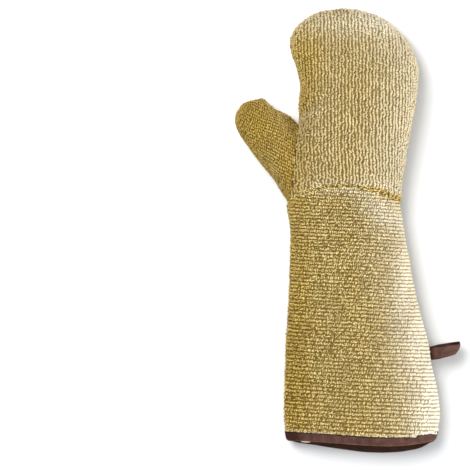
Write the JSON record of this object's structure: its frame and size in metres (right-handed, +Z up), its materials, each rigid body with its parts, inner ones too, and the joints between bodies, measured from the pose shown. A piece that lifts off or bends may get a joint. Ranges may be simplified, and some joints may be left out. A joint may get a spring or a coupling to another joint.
{
  "type": "oven glove",
  "caption": "Right-hand oven mitten of thick looped terry knit with a long flared gauntlet, a bound mouth and a folded tape hanging loop, lying flat.",
  "frame": {"origin": "middle of the whole outline seen from above, on the surface that the glove lies on", "axes": "+Y runs from the mouth to the fingertips, +Z up from the surface, and +X to the side of the hanging loop, with the thumb on the -X side"},
  "size_m": [0.2484, 0.489, 0.0639],
  "materials": {
    "terry_hand": "matt looped terry knit, cream yellow with olive gaps between the loops, ribs running to the fingertips",
    "terry_thumb": "matt looped terry knit, finer and a darker olive yellow, ribs running aslant",
    "terry_gauntlet": "matt looped terry knit, cream yellow, ribs running round the arm",
    "brown_tape": "woven reddish-brown binding tape, slightly lustrous"
  },
  "bodies": {
    "root": {"hand": "terry_hand", "thumb": "terry_thumb", "gauntlet": "terry_gauntlet", "cuff_binding": "brown_tape", "hanging_loop": "brown_tape"}
  },
  "joints": []
}
